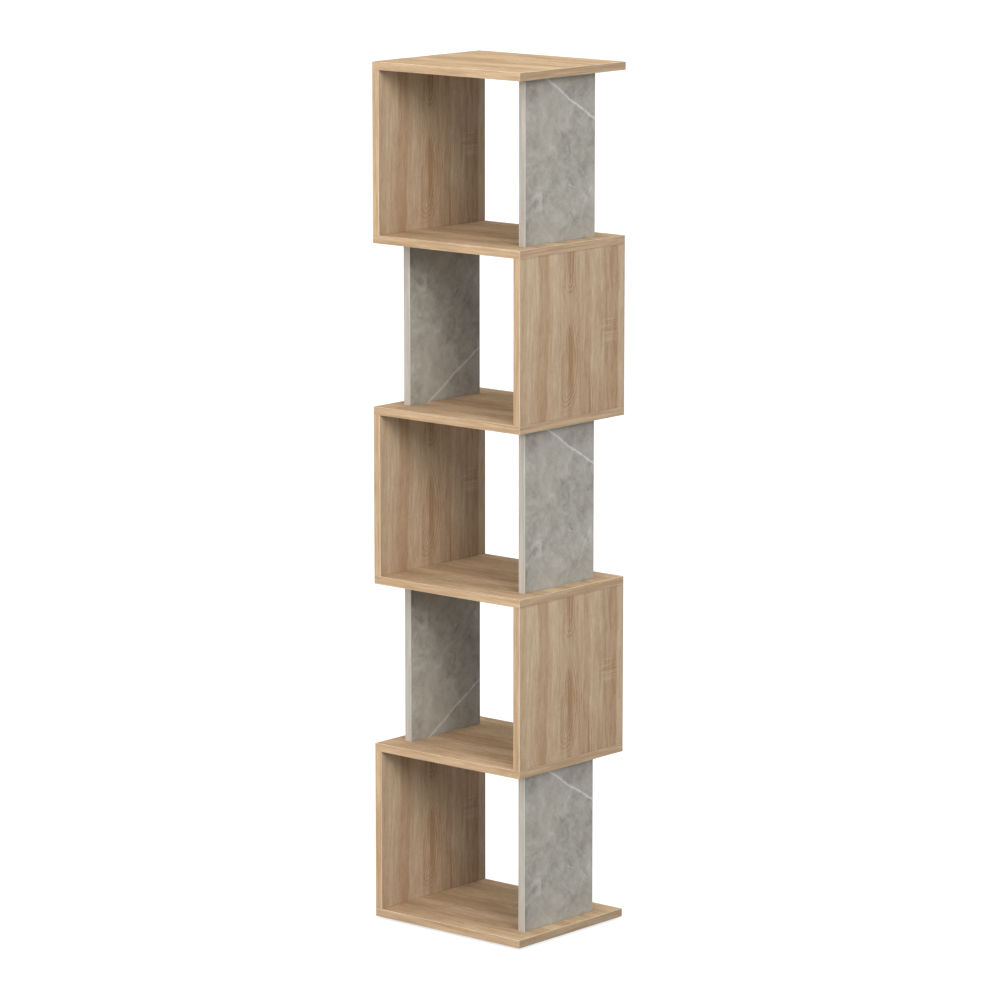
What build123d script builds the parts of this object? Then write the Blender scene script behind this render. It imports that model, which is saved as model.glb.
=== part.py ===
from build123d import *
from math import hypot
import os

# A zigzag bookcase: six shelves stacked on five pairs of uprights, one wide and one narrow.
# The wide upright stands flush with one end of its shelves and the narrow one is set in from
# the other end, and the two change sides at each level.
# Millimetres, +Z up, the front towards -Y, the origin on the floor under the middle.

# Boards
shelf_width = 350
shelf_depth = 295
board_thickness = 15
upright_height = 300
level_count = 5
stone_depth = 195
stone_inset = 30

# Edging strips
edging_thickness = 1
edging_round = 0.6
edging_joint_gap = 0.1
round_limit_share = 0.8

# Places of the fittings along the end of an upright
cam_edge_margin = 37
dowel_spacing = 32

# Cam locks
cam_bore_diameter = 15
cam_bore_floor = 2.5
cam_from_end = 24
cam_clearance = 0.1
cam_sink = 0.3
cam_recess_diameter = 4
cam_recess_depth = 2.5
cam_cross_length = 7
cam_cross_width = 1.4
cam_rim_chamfer = 0.4

# Connecting bolts
bolt_bore_diameter = 8
bolt_head_diameter = 7
bolt_head_length = 3.5
bolt_head_clearance = 0.2
bolt_neck_diameter = 4
bolt_shank_diameter = 7
bolt_shank_gap = 1
bolt_thread_diameter = 5
bolt_thread_length = 10.5
bolt_thread_clearance = 0.05
bolt_tip_chamfer = 0.6
bolt_end_gap = 0.5

# Dowels
dowel_diameter = 8
dowel_in_upright = 20
dowel_in_shelf = 10
dowel_clearance = 0.05
dowel_end_gap = 0.5
dowel_chamfer = 0.8

# Cover caps of the cam locks
cap_diameter = 17
cap_thickness = 1
cap_chamfer = 0.4
cap_peg_diameter = 3.6
cap_peg_reach = 2

# Glides under the base shelf and their nails
glide_diameter = 20
glide_height = 4
glide_inset = 25
glide_chamfer = 0.8
nail_diameter = 1.8
nail_head_diameter = 4.5
nail_head_thickness = 1
nail_sink = 0.4
nail_reach = 9
nail_clearance = 0.05
nail_head_clearance = 0.4
nail_end_gap = 0.5

# Wall bracket under the top shelf and its screw
bracket_leg = 25
bracket_width = 18
bracket_thickness = 2
bracket_bend = 1.5
bracket_corner_round = 3
bracket_hole_from_corner = 15
wall_hole_diameter = 5
screw_diameter = 3.5
screw_hole_clearance = 0.25
screw_head_diameter = 7
screw_head_height = 2
screw_head_round = 0.8
screw_recess_length = 3.6
screw_recess_width = 0.9
screw_recess_depth = 1.3
screw_reach = 10
screw_clearance = 0.05
screw_tip_chamfer = 0.8
screw_end_gap = 0.5

# One length past the surface for every cut that goes right through
cut_overrun = 1

# Worked out from the sizes above
pitch = upright_height + board_thickness
edging_fillet = min(edging_round, edging_thickness * round_limit_share)
cam_bore_depth = board_thickness - cam_bore_floor
oak_middle = shelf_width / 2 - board_thickness / 2
stone_middle = shelf_width / 2 - stone_inset - board_thickness / 2
bracket_hole_y = shelf_depth / 2 - bracket_hole_from_corner
shelf_names = ["base_shelf", *[f"shelf_{n}" for n in range(1, level_count)], "top_shelf"]

os.makedirs("parts", exist_ok=True)


def shelf_bottom(index):
    """Height of a shelf's underside, where the base shelf is number 0."""
    return glide_height + index * pitch


def upright_bottom(level):
    """Height of the lower end of a level's uprights, where the lowest level is number 1."""
    return shelf_bottom(level - 1) + board_thickness


def oak_x(level):
    """Middle of the wide upright: on the left at odd levels and on the right at even ones."""
    return oak_middle if level % 2 == 0 else -oak_middle


def stone_x(level):
    """Middle of the narrow upright, on the side across from the wide one."""
    return -stone_middle if level % 2 == 0 else stone_middle


def cam_row(depth):
    """Distance from the middle of an upright to its cam locks."""
    return depth / 2 - cam_edge_margin


def dowel_row(depth):
    """Distance from the middle of an upright to its dowels."""
    return cam_row(depth) - dowel_spacing


def drill_shelf_face(x, depth, height, turn):
    """Holes in a shelf face for one upright: threads for the bolts and sockets for the dowels."""
    with Locations(Location((x, 0, height), (turn, 0, 0))):
        with GridLocations(0, 2 * cam_row(depth), 1, 2):
            Hole(bolt_thread_diameter / 2 + bolt_thread_clearance, bolt_thread_length + bolt_end_gap)
        with GridLocations(0, 2 * dowel_row(depth), 1, 2):
            Hole(dowel_diameter / 2 + dowel_clearance, dowel_in_shelf + dowel_end_gap)


def drill_upright_end(x, depth, height, turn):
    """Holes in one end of an upright: bores for the bolts and sockets for the dowels."""
    with Locations(Location((x, 0, height), (turn, 0, 0))):
        with GridLocations(0, 2 * cam_row(depth), 1, 2):
            Hole(bolt_bore_diameter / 2, cam_from_end)
        with GridLocations(0, 2 * dowel_row(depth), 1, 2):
            Hole(dowel_diameter / 2 + dowel_clearance, dowel_in_upright + dowel_end_gap)


# Shelf boards, without their edging
for index, name in enumerate(shelf_names):
    bottom = shelf_bottom(index)
    top = bottom + board_thickness
    with BuildPart() as shelf:
        with BuildSketch(Plane.XY.offset(bottom)):
            Rectangle(shelf_width - 2 * edging_thickness, shelf_depth - 2 * edging_thickness)
        extrude(amount=board_thickness)
        if index > 0:
            drill_shelf_face(oak_x(index), shelf_depth, bottom, 180)
            drill_shelf_face(stone_x(index), stone_depth, bottom, 180)
        if index < level_count:
            drill_shelf_face(oak_x(index + 1), shelf_depth, top, 0)
            drill_shelf_face(stone_x(index + 1), stone_depth, top, 0)
        if index == 0:
            with Locations(Location((0, 0, bottom), (180, 0, 0))):
                with GridLocations(shelf_width - 2 * glide_inset, shelf_depth - 2 * glide_inset, 2, 2):
                    Hole(nail_diameter / 2 + nail_clearance, nail_reach + nail_end_gap)
        if index == level_count:
            with Locations(Location((0, bracket_hole_y, bottom), (180, 0, 0))):
                Hole(screw_diameter / 2 + screw_clearance, screw_reach + screw_end_gap)
    shelf.part.label = name
    export_step(shelf.part, f"parts/{name}.step")

# Shelf edging: long strips along the front and the rear, short ones at the ends between them
for index, name in enumerate(shelf_names):
    end_length = shelf_depth - 2 * edging_thickness - 2 * edging_joint_gap
    with BuildPart() as shelf_edging:
        with BuildSketch(Plane.XY.offset(shelf_bottom(index))):
            with GridLocations(0, shelf_depth - edging_thickness, 1, 2):
                Rectangle(shelf_width, edging_thickness)
            with GridLocations(shelf_width - edging_thickness, 0, 2, 1):
                Rectangle(edging_thickness, end_length)
        extrude(amount=board_thickness)
        end_faces = shelf_edging.faces().filter_by(Axis.X).group_by(Axis.X)
        long_faces = shelf_edging.faces().filter_by(Axis.Y).group_by(Axis.Y)
        outer_faces = end_faces[0] + end_faces[-1] + long_faces[0] + long_faces[-1]
        level_edges = outer_faces.edges().filter_by(Axis.Z, reverse=True)
        upright_edges = shelf_edging.edges().filter_by(Axis.Z).group_by(Axis.Y)
        fillet(level_edges + upright_edges[0] + upright_edges[-1], edging_fillet)
    shelf_edging.part.label = f"{name}_edging"
    export_step(shelf_edging.part, f"parts/{name}_edging.step")

# Uprights, without their edging, and the strips on their front and rear edges
upright_kinds = {"oak": (oak_x, shelf_depth), "stone": (stone_x, stone_depth)}
for kind, (middle_of, depth) in upright_kinds.items():
    for level in range(1, level_count + 1):
        x = middle_of(level)
        bottom = upright_bottom(level)
        cam_face = Plane(
            origin=(x - board_thickness / 2, 0, bottom + upright_height / 2),
            x_dir=(0, 1, 0),
            z_dir=(-1, 0, 0),
        )
        with BuildPart() as upright:
            with BuildSketch(Plane(origin=(x, 0, bottom))):
                Rectangle(board_thickness, depth - 2 * edging_thickness)
            extrude(amount=upright_height)
            drill_upright_end(x, depth, bottom, 180)
            drill_upright_end(x, depth, bottom + upright_height, 0)
            with Locations(cam_face):
                with GridLocations(2 * cam_row(depth), upright_height - 2 * cam_from_end, 2, 2):
                    Hole(cam_bore_diameter / 2, cam_bore_depth)
        upright.part.label = f"{kind}_upright_{level}"
        export_step(upright.part, f"parts/{kind}_upright_{level}.step")

        with BuildPart() as upright_edging:
            with BuildSketch(Plane(origin=(x, 0, bottom))) as strips:
                with GridLocations(0, depth - edging_thickness, 1, 2):
                    Rectangle(board_thickness, edging_thickness)
                corners = strips.vertices().group_by(Axis.Y)
                fillet(corners[0] + corners[-1], edging_fillet)
            extrude(amount=upright_height)
        upright_edging.part.label = f"{kind}_upright_{level}_edging"
        export_step(upright_edging.part, f"parts/{kind}_upright_{level}_edging.step")

# Places of the fittings: one frame for each, at the lower end turned upside down
cam_places = {"oak": [], "stone": []}
dowel_places = []
for kind, (middle_of, depth) in upright_kinds.items():
    for level in range(1, level_count + 1):
        for side in (-1, 1):
            x = middle_of(level)
            bottom = upright_bottom(level)
            top = bottom + upright_height
            cam_y = side * cam_row(depth)
            dowel_y = side * dowel_row(depth)
            cam_places[kind].append(Location((x, cam_y, bottom + cam_from_end), (180, 0, 0)))
            cam_places[kind].append(Location((x, cam_y, top - cam_from_end), (0, 0, 0)))
            dowel_places.append(Location((x, dowel_y, bottom), (180, 0, 0)))
            dowel_places.append(Location((x, dowel_y, top), (0, 0, 0)))
all_cam_places = cam_places["oak"] + cam_places["stone"]

# Cam lock: it lies across the board, turned from -X, and holds the bolt's head at its middle
cam_radius = cam_bore_diameter / 2 - cam_clearance
cam_height = cam_bore_depth - cam_sink - cam_clearance
cam_front = Plane(
    origin=(-board_thickness / 2 + cam_sink, 0, 0),
    x_dir=(0, 1, 0),
    z_dir=(1, 0, 0),
)
chamber_width = bolt_head_diameter + 2 * bolt_head_clearance
chamber_radius = hypot(bolt_head_diameter / 2, bolt_head_length / 2) + bolt_head_clearance
slot_width = bolt_neck_diameter + 2 * bolt_head_clearance
slot_reach = cam_radius + cut_overrun
slot_corner = Plane(
    origin=(0, -slot_width / 2, -slot_width / 2),
    x_dir=(0, 1, 0),
    z_dir=(1, 0, 0),
)
with BuildPart() as cam:
    with BuildSketch(cam_front):
        Circle(cam_radius)
    extrude(amount=cam_height)
    chamfer(cam.edges().sort_by(Axis.X)[0], cam_rim_chamfer)
    # Recess for the screwdriver and for the cap's peg
    with BuildSketch(cam_front):
        Circle(cam_recess_diameter / 2)
        Rectangle(cam_cross_length, cam_cross_width)
        Rectangle(cam_cross_width, cam_cross_length)
    extrude(amount=cam_recess_depth, mode=Mode.SUBTRACT)
    # Chamber for the bolt's head
    with BuildSketch(Plane.YZ):
        Circle(chamber_radius)
    extrude(amount=chamber_width / 2, both=True, mode=Mode.SUBTRACT)
    # Slot that lets the neck sweep a quarter turn, from the mouth at +Y to the bolt at +Z
    with BuildSketch(slot_corner):
        Rectangle(slot_width / 2 + slot_reach, slot_width / 2 + slot_reach, align=Align.MIN)
    extrude(amount=slot_width / 2, both=True, mode=Mode.SUBTRACT)
    # Mouth that lets the head in
    with BuildSketch(Plane.YZ):
        Rectangle(slot_reach, chamber_width, align=(Align.MIN, Align.CENTER))
    extrude(amount=chamber_width / 2, both=True, mode=Mode.SUBTRACT)

with BuildPart() as cam_locks:
    with Locations(*all_cam_places):
        add(cam.part)
cam_locks.part.label = "cam_locks"
export_step(cam_locks.part, "parts/cam_locks.step")

# Connecting bolt: the head in the cam lock, the shank on the shelf, the thread in the shelf
thread_end = cam_from_end + bolt_thread_length
shank_start = cam_bore_diameter / 2 + bolt_shank_gap
with BuildPart() as bolt:
    with BuildSketch(Plane.XZ):
        with BuildLine():
            Polyline(
                (0, -bolt_head_length / 2),
                (bolt_head_diameter / 2, -bolt_head_length / 2),
                (bolt_head_diameter / 2, bolt_head_length / 2),
                (bolt_neck_diameter / 2, bolt_head_length / 2),
                (bolt_neck_diameter / 2, shank_start),
                (bolt_shank_diameter / 2, shank_start),
                (bolt_shank_diameter / 2, cam_from_end),
                (bolt_thread_diameter / 2, cam_from_end),
                (bolt_thread_diameter / 2, thread_end),
                (0, thread_end),
                close=True,
            )
        make_face()
    revolve(axis=Axis.Z)
    chamfer(bolt.edges().filter_by(GeomType.CIRCLE).sort_by(Axis.Z)[-1], bolt_tip_chamfer)

with BuildPart() as connecting_bolts:
    with Locations(*all_cam_places):
        add(bolt.part)
connecting_bolts.part.label = "connecting_bolts"
export_step(connecting_bolts.part, "parts/connecting_bolts.step")

# Dowel across the joint between an upright and a shelf
with BuildPart() as dowel:
    with BuildSketch(Plane.XY.offset(-dowel_in_upright)):
        Circle(dowel_diameter / 2)
    extrude(amount=dowel_in_upright + dowel_in_shelf)
    chamfer(dowel.edges().filter_by(GeomType.CIRCLE), dowel_chamfer)

with BuildPart() as dowels:
    with Locations(*dowel_places):
        add(dowel.part)
dowels.part.label = "dowels"
export_step(dowels.part, "parts/dowels.step")

# Cover cap: a thin disc on the board with a peg in the cam lock's recess
cap_face = Plane(origin=(-board_thickness / 2, 0, 0), x_dir=(0, 1, 0), z_dir=(-1, 0, 0))
with BuildPart() as cap:
    with BuildSketch(cap_face):
        Circle(cap_diameter / 2)
    extrude(amount=cap_thickness)
    chamfer(cap.edges().sort_by(Axis.X)[0], cap_chamfer)
    with BuildSketch(cap_face):
        Circle(cap_peg_diameter / 2)
    extrude(amount=-(cam_sink + cap_peg_reach))

for kind, places in cam_places.items():
    with BuildPart() as cam_caps:
        with Locations(*places):
            add(cap.part)
    cam_caps.part.label = f"{kind}_cam_caps"
    export_step(cam_caps.part, f"parts/{kind}_cam_caps.step")

# Glide under each corner of the base shelf, held by a nail through its middle
glide_places = GridLocations(shelf_width - 2 * glide_inset, shelf_depth - 2 * glide_inset, 2, 2)
nail_seat = nail_sink + nail_head_thickness
with BuildPart() as glide:
    with BuildSketch():
        Circle(glide_diameter / 2)
    extrude(amount=glide_height)
    chamfer(glide.edges().sort_by(Axis.Z)[0], glide_chamfer)
    with Locations(Location((0, 0, 0), (180, 0, 0))):
        CounterBoreHole(
            nail_diameter / 2 + nail_clearance,
            nail_head_diameter / 2 + nail_head_clearance,
            nail_seat,
            glide_height + cut_overrun,
        )

with BuildPart() as glide_pads:
    with Locations(*glide_places.locations):
        add(glide.part)
glide_pads.part.label = "glide_pads"
export_step(glide_pads.part, "parts/glide_pads.step")

with BuildPart() as nail:
    with BuildSketch(Plane.XY.offset(nail_sink)):
        Circle(nail_head_diameter / 2)
    extrude(amount=nail_head_thickness)
    with BuildSketch(Plane.XY.offset(nail_seat)):
        Circle(nail_diameter / 2)
    extrude(amount=glide_height - nail_seat + nail_reach)

with BuildPart() as glide_nails:
    with Locations(*glide_places.locations):
        add(nail.part)
glide_nails.part.label = "glide_nails"
export_step(glide_nails.part, "parts/glide_nails.step")

# Wall bracket: a bent steel strip under the top shelf, its upright leg flush with the rear edge
bracket_top = shelf_bottom(level_count)
bracket_rear = shelf_depth / 2
leg_underside = bracket_top - bracket_thickness
wall_hole_z = bracket_top - bracket_hole_from_corner
bend_line = Plane(origin=(0, bracket_rear, bracket_top), x_dir=(0, 1, 0), z_dir=(1, 0, 0))
with BuildPart() as wall_bracket:
    with BuildSketch(bend_line) as angle:
        with BuildLine():
            Polyline(
                (0, 0),
                (-bracket_leg, 0),
                (-bracket_leg, -bracket_thickness),
                (-bracket_thickness, -bracket_thickness),
                (-bracket_thickness, -bracket_leg),
                (0, -bracket_leg),
                close=True,
            )
        make_face()
        fillet(angle.vertices().sort_by_distance((0, 0))[1], bracket_bend)
        fillet(angle.vertices().sort_by_distance((0, 0))[0], bracket_bend + bracket_thickness)
    extrude(amount=bracket_width / 2, both=True)
    fillet(wall_bracket.edges().filter_by(Axis.Z).group_by(Axis.Y)[0], bracket_corner_round)
    fillet(wall_bracket.edges().filter_by(Axis.Y).group_by(Axis.Z)[0], bracket_corner_round)
    # Hole for the screw into the shelf
    with Locations(Location((0, bracket_hole_y, leg_underside), (180, 0, 0))):
        Hole(screw_diameter / 2 + screw_hole_clearance, bracket_thickness + cut_overrun)
    # Hole for the wall screw
    with Locations(Location((0, bracket_rear, wall_hole_z), (-90, 0, 0))):
        Hole(wall_hole_diameter / 2, bracket_thickness + cut_overrun)
wall_bracket.part.label = "wall_bracket"
export_step(wall_bracket.part, "parts/wall_bracket.step")

# Screw that holds the bracket to the top shelf, driven from below
with BuildPart() as bracket_screw:
    with BuildSketch(Plane(origin=(0, bracket_hole_y, leg_underside - screw_head_height))):
        Circle(screw_head_diameter / 2)
    extrude(amount=screw_head_height)
    fillet(bracket_screw.edges().filter_by(GeomType.CIRCLE).sort_by(Axis.Z)[0], screw_head_round)
    with BuildSketch(Plane(origin=(0, bracket_hole_y, leg_underside))):
        Circle(screw_diameter / 2)
    extrude(amount=bracket_thickness + screw_reach)
    chamfer(bracket_screw.edges().filter_by(GeomType.CIRCLE).sort_by(Axis.Z)[-1], screw_tip_chamfer)
    with BuildSketch(Plane(origin=(0, bracket_hole_y, leg_underside - screw_head_height))):
        Rectangle(screw_recess_length, screw_recess_width)
        Rectangle(screw_recess_width, screw_recess_length)
    extrude(amount=screw_recess_depth, mode=Mode.SUBTRACT)
bracket_screw.part.label = "bracket_screw"
export_step(bracket_screw.part, "parts/bracket_screw.step")
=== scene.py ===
"""Dresses the zigzag bookcase and sets it in a pale studio.

The boards, their edging and the joinery keep their construction meshes and get a finish each.
The cover caps and the glides are turned pieces, made here with geometry nodes. Lengths are in
metres, +Z is up, the front faces -Y and +X is the viewer's right.
"""

import logging
import math
from dataclasses import dataclass
from enum import Enum
from functools import reduce
from typing import Any, Optional

import bpy
from mathutils import Matrix, Vector


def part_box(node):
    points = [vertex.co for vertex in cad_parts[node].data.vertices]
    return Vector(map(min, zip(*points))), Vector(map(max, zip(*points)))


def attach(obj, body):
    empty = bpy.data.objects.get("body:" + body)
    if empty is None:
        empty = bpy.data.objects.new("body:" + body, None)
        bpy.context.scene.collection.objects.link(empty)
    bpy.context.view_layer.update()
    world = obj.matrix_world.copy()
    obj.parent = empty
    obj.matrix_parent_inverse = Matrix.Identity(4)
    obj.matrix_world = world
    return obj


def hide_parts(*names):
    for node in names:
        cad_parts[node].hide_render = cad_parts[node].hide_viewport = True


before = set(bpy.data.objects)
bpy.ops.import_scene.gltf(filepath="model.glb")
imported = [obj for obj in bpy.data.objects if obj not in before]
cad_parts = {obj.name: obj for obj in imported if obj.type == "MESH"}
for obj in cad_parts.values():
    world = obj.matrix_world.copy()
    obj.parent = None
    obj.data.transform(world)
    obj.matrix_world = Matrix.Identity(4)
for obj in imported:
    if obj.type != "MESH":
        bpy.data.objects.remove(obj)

LOG = logging.getLogger("bookcase")
MM = 0.001
BODY = "root"
LEVELS = range(1, 6)
SHELVES = ("base_shelf", "shelf_1", "shelf_2", "shelf_3", "shelf_4", "top_shelf")
# A spot's radius through the board, so long that the spot lies on both faces
BOTH_FACES = 50.0
Triple = tuple[float, float, float]
Colour = tuple[int, int, int]
Shade = tuple[float, float, float, float]


class SocketKind(Enum):
    """Kinds of socket on a node group."""

    FLOAT = "NodeSocketFloat"
    INT = "NodeSocketInt"
    VECTOR = "NodeSocketVector"
    GEOMETRY = "NodeSocketGeometry"
    MATERIAL = "NodeSocketMaterial"


class Grain(Enum):
    """Which way a board's grain runs, as the turn that brings X across the grain and Z along it."""

    UPRIGHT = ((0, 1, 0), (-1, 0, 0), (0, 0, 1))
    LEVEL = ((0, -1, 0), (0, 0, -1), (1, 0, 0))


def linear(red: int, green: int, blue: int) -> Shade:
    """Turns a display colour into the linear one that shaders take.

    Args:
        red: Display value from 0 to 255.
        green: Display value from 0 to 255.
        blue: Display value from 0 to 255.

    Returns:
        The linear red, green and blue with an alpha of 1.
    """
    def one(value: int) -> float:
        """Turns one display value into a linear one."""
        share = value / 255
        return share / 12.92 if share <= 0.04045 else ((share + 0.055) / 1.055) ** 2.4

    return one(red), one(green), one(blue), 1.0


class Wire:
    """A node's output that can be reckoned with: each sign adds a Math node to the tree."""

    def __init__(self, sketch: "Sketch", socket: bpy.types.NodeSocket) -> None:
        """Keeps the output.

        Args:
            sketch: Sketch of the tree that the output is in.
            socket: The output.
        """
        self.sketch = sketch
        self.socket = socket

    def __add__(self, other: Any) -> "Wire":
        """The sum."""
        return self.sketch.maths("ADD", self, other)

    def __sub__(self, other: Any) -> "Wire":
        """The difference."""
        return self.sketch.maths("SUBTRACT", self, other)

    def __rsub__(self, other: float) -> "Wire":
        """The difference from a constant."""
        return self.sketch.maths("SUBTRACT", other, self)

    def __mul__(self, other: Any) -> "Wire":
        """The product."""
        return self.sketch.maths("MULTIPLY", self, other)

    def __truediv__(self, other: Any) -> "Wire":
        """The quotient."""
        return self.sketch.maths("DIVIDE", self, other)

    def __abs__(self) -> "Wire":
        """The value without its sign."""
        return self.sketch.maths("ABSOLUTE", self)


@dataclass(frozen=True)
class Noise:
    """One noise: waves per metre in X, Y and Z, octaves, their roughness and how far it bends."""

    waves: Optional[Triple] = None
    detail: float = 2.0
    roughness: float = 0.5
    bend: float = 0.0


@dataclass(frozen=True)
class GrainNoise:
    """A noise drawn out along a grain: waves per metre across and along it, on its own layer."""

    cross: float
    length: float
    layer: float
    detail: float = 2.0
    roughness: float = 0.5
    weight: float = 1.0

    @property
    def plain(self) -> Noise:
        """The noise for coordinates that are already scaled."""
        return Noise(None, self.detail, self.roughness)


@dataclass(frozen=True)
class StoneNoise:
    """A noise of the stone's ground: waves per metre, octaves, roughness, bend, weight and shift."""

    waves: float
    detail: float
    roughness: float
    bend: float
    weight: float
    shift: float

    @property
    def plain(self) -> Noise:
        """The noise for coordinates in metres on the sheet."""
        return Noise((self.waves, 1.0, self.waves), self.detail, self.roughness, self.bend)


class Sketch:
    """Adds nodes to one tree and links them."""

    def __init__(self, tree: bpy.types.NodeTree) -> None:
        """Keeps the tree.

        Args:
            tree: Node tree of a material, world, shader group or modifier.
        """
        self.tree = tree

    def add(self, kind: str, feeds: Optional[dict] = None, **settings: Any) -> bpy.types.Node:
        """Adds one node.

        Args:
            kind: The node's type name.
            feeds: Constant or wire for each input, by name or number.
            **settings: The node's own properties.

        Returns:
            The new node.
        """
        node = self.tree.nodes.new(kind)
        for name, value in settings.items():
            setattr(node, name, value)
        for key, value in (feeds or {}).items():
            self.feed(node.inputs[key], value)
        return node

    def wire(self, kind: str, feeds: Optional[dict] = None, output: Any = 0, **settings: Any) -> Wire:
        """Adds one node and gives one of its outputs.

        Args:
            kind: The node's type name.
            feeds: Constant or wire for each input, by name or number.
            output: The output's name or number.
            **settings: The node's own properties.

        Returns:
            The output.
        """
        return Wire(self, self.add(kind, feeds, **settings).outputs[output])

    def feed(self, target: bpy.types.NodeSocket, value: Any) -> None:
        """Links a wire to an input, or sets the input's constant.

        Args:
            target: The input.
            value: The wire or the constant.
        """
        if isinstance(value, Wire):
            self.tree.links.new(value.socket, target)
        else:
            target.default_value = value

    def takes(self) -> dict[str, Wire]:
        """The tree's own inputs, by name."""
        sockets = self.add("NodeGroupInput").outputs
        return {socket.name: Wire(self, socket) for socket in sockets if socket.name}

    def maths(self, operation: str, first: Any, second: Any = 0.0) -> Wire:
        """Result of a Math node."""
        return self.wire("ShaderNodeMath", {0: first, 1: second}, operation=operation)

    def largest(self, values: list[Wire]) -> Wire:
        """Largest of some values."""
        return reduce(lambda first, second: self.maths("MAXIMUM", first, second), values)

    def vector(self, operation: str, first: Any, second: Any = (0.0, 0.0, 0.0)) -> Wire:
        """Result of a Vector Math node."""
        output = "Value" if operation in ("LENGTH", "DOT_PRODUCT") else "Vector"
        return self.wire("ShaderNodeVectorMath", {0: first, 1: second}, output, operation=operation)

    def split(self, vector: Any) -> tuple[Wire, ...]:
        """X, Y and Z of a vector."""
        return tuple(Wire(self, part) for part in self.add("ShaderNodeSeparateXYZ", {0: vector}).outputs)

    def join(self, x: Any = 0.0, y: Any = 0.0, z: Any = 0.0) -> Wire:
        """Vector of three values."""
        return self.wire("ShaderNodeCombineXYZ", {0: x, 1: y, 2: z})

    def noise(self, vector: Any, kind: Noise) -> Wire:
        """Value of a noise texture.

        Args:
            vector: Coordinates.
            kind: The noise, with no waves where the coordinates are already scaled.

        Returns:
            A value about 0.5.
        """
        if kind.waves is not None:
            vector = self.vector("MULTIPLY", vector, kind.waves)
        feeds = {"Vector": vector, "Scale": 1.0, "Detail": kind.detail, "Roughness": kind.roughness,
                 "Distortion": kind.bend}
        return self.wire("ShaderNodeTexNoise", feeds, noise_dimensions="3D")

    def smooth(self, value: Any, low: Any, high: Any, start: Any = 0.0, end: Any = 1.0) -> Wire:
        """Smooth step from start to end while the value goes from low to high."""
        feeds = {"Value": value, "From Min": low, "From Max": high, "To Min": start, "To Max": end}
        return self.wire("ShaderNodeMapRange", feeds, interpolation_type="SMOOTHSTEP")

    def mix(self, share: Any, first: Any, second: Any) -> Wire:
        """Mixes two colours."""
        return self.wire("ShaderNodeMix", {0: share, 6: first, 7: second}, 2, data_type="RGBA")

    def ramp(self, value: Any, stops: tuple[tuple[float, Shade], ...], ease: str = "LINEAR") -> Wire:
        """Colour ramp through the given stops.

        Args:
            value: Place on the ramp, from 0 to 1.
            stops: Place and colour of each stop.
            ease: Interpolation between the stops.

        Returns:
            The ramp's colour.
        """
        node = self.add("ShaderNodeValToRGB", {0: value})
        node.color_ramp.interpolation = ease
        elements = node.color_ramp.elements
        while len(elements) < len(stops):
            elements.new(1.0)
        for element, (place, colour) in zip(elements, stops):
            element.position = place
            element.color = colour
        return Wire(self, node.outputs[0])

    def tones(self, value: Any, places: tuple[float, ...], colours: tuple[Colour, ...]) -> Wire:
        """Colour ramp through display colours at the given places."""
        return self.ramp(value, tuple(zip(places, (linear(*colour) for colour in colours))))


class Effect:
    """A shader node group that is built once and placed in each material with its own values."""

    name = "effect"
    takes: dict[str, tuple[SocketKind, Any]] = {}
    gives: dict[str, SocketKind] = {}

    def tree(self) -> bpy.types.ShaderNodeTree:
        """Finds the group's tree, or builds it at its first use.

        Returns:
            The tree.
        """
        if self.name in bpy.data.node_groups:
            return bpy.data.node_groups[self.name]
        tree = bpy.data.node_groups.new(self.name, "ShaderNodeTree")
        for label, (kind, value) in self.takes.items():
            socket = tree.interface.new_socket(name=label, in_out="INPUT", socket_type=kind.value)
            if value is not None:
                socket.default_value = value
        for label, kind in self.gives.items():
            tree.interface.new_socket(name=label, in_out="OUTPUT", socket_type=kind.value)
        sketch = Sketch(tree)
        sketch.add("NodeGroupOutput", self.draw(sketch, sketch.takes()))
        return tree

    def draw(self, sketch: Sketch, takes: dict[str, Wire]) -> dict[str, Wire]:
        """Draws the group's nodes.

        Args:
            sketch: Sketch of the group's tree.
            takes: The group's inputs, by name.

        Returns:
            What each of the group's outputs gives.
        """
        raise NotImplementedError

    def place(self, sketch: Sketch, **feeds: Any) -> dict[str, Wire]:
        """Places the group in a tree.

        Args:
            sketch: Sketch of the tree.
            **feeds: Constant or wire for each input, with _ for each space of its name.

        Returns:
            The group's outputs, by name.
        """
        named = {label.replace("_", " "): value for label, value in feeds.items()}
        node = sketch.add("ShaderNodeGroup", node_tree=self.tree())
        for label, value in named.items():
            sketch.feed(node.inputs[label], value)
        return {label: Wire(sketch, node.outputs[label]) for label in self.gives}


class SheetSide(Effect):
    """Gives the two faces of a board different pieces of decor.

    The coordinates are centred on the board: X across the grain, Y through the board, Z along
    the grain. On the far side (+Y) the picture is turned by half a turn and shifted.
    """

    name = "sheet_side"
    takes = {"Vector": (SocketKind.VECTOR, None), "Side Shift": (SocketKind.FLOAT, 5.3)}
    gives = {"Vector": SocketKind.VECTOR}

    def draw(self, sketch: Sketch, takes: dict[str, Wire]) -> dict[str, Wire]:
        """Draws the group's nodes.

        Args:
            sketch: Sketch of the group's tree.
            takes: The group's inputs, by name.

        Returns:
            The coordinates on the face's own picture.
        """
        across, through, along = sketch.split(takes["Vector"])
        far = sketch.maths("GREATER_THAN", through, 0.0)
        turn = far * -2.0 + 1.0
        return {"Vector": sketch.join(across * turn, far * takes["Side Shift"], along * turn)}


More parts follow.
